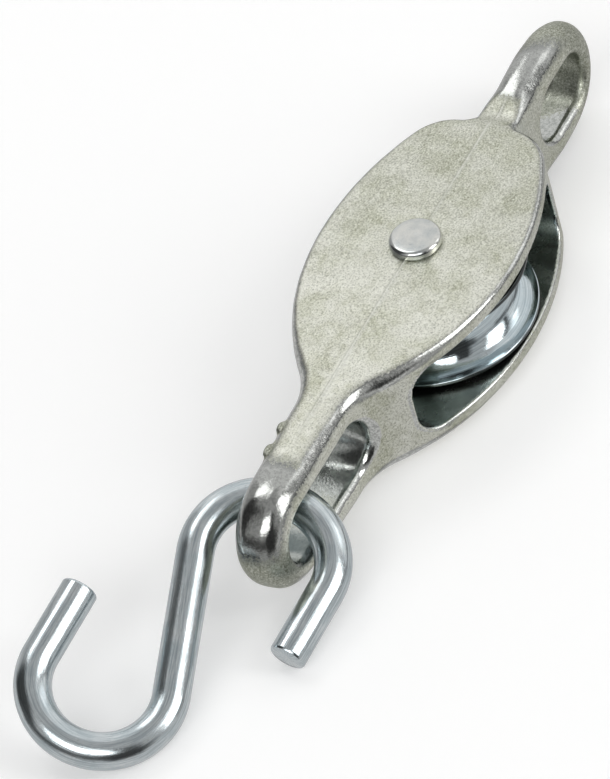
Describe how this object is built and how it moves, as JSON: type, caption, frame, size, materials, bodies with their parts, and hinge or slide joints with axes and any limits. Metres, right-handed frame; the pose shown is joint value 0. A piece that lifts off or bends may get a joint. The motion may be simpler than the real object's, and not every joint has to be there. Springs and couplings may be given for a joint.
{
  "type": "sheave block",
  "caption": "Cast pulley block with a grooved sheave on a riveted axle between two oval cheeks, a becket eye at one end and an open S-hook through a long eye at the other.",
  "frame": {"origin": "on the supporting surface, under the middle of the whole object's box", "axes": "+X along the block towards its becket eye, +Z out of the front cheek and up from the surface, +Y across the block, towards the side where the S-hook's lower bend lies"},
  "size_m": [0.1576, 0.045, 0.0234],
  "materials": {
    "zinc_casting": "tumbled satin casting, light warm grey",
    "rivet_steel": "bright zinc plate, smooth",
    "sheave_steel": "bluish bright zinc plate, smooth",
    "bush_bronze": "oiled sintered bronze",
    "washer_steel": "zinc plate",
    "hook_steel": "bluish bright zinc plate on drawn wire"
  },
  "bodies": {
    "frame": {"cast_frame": "zinc_casting", "axle_rivet": "rivet_steel", "front_thrust_washer": "washer_steel", "rear_thrust_washer": "washer_steel"},
    "sheave": {"sheave_front_half": "sheave_steel", "sheave_rear_half": "sheave_steel", "axle_bush": "bush_bronze"},
    "hook": {"s_hook": "hook_steel"}
  },
  "joints": [
    {"name": "sheave_spin", "type": "hinge", "parent": "frame", "child": "sheave", "pos_m": [0.02216, -0.00545, 0.01195], "axis": [0, 0, 1], "continuous": true},
    {"name": "s_hook_swing", "type": "hinge", "parent": "frame", "child": "hook", "pos_m": [-0.0365, -0.00469, 0.00964], "axis": [-0.2403, -0.3584, 0.9021], "range_deg": [-100, 95]}
  ]
}
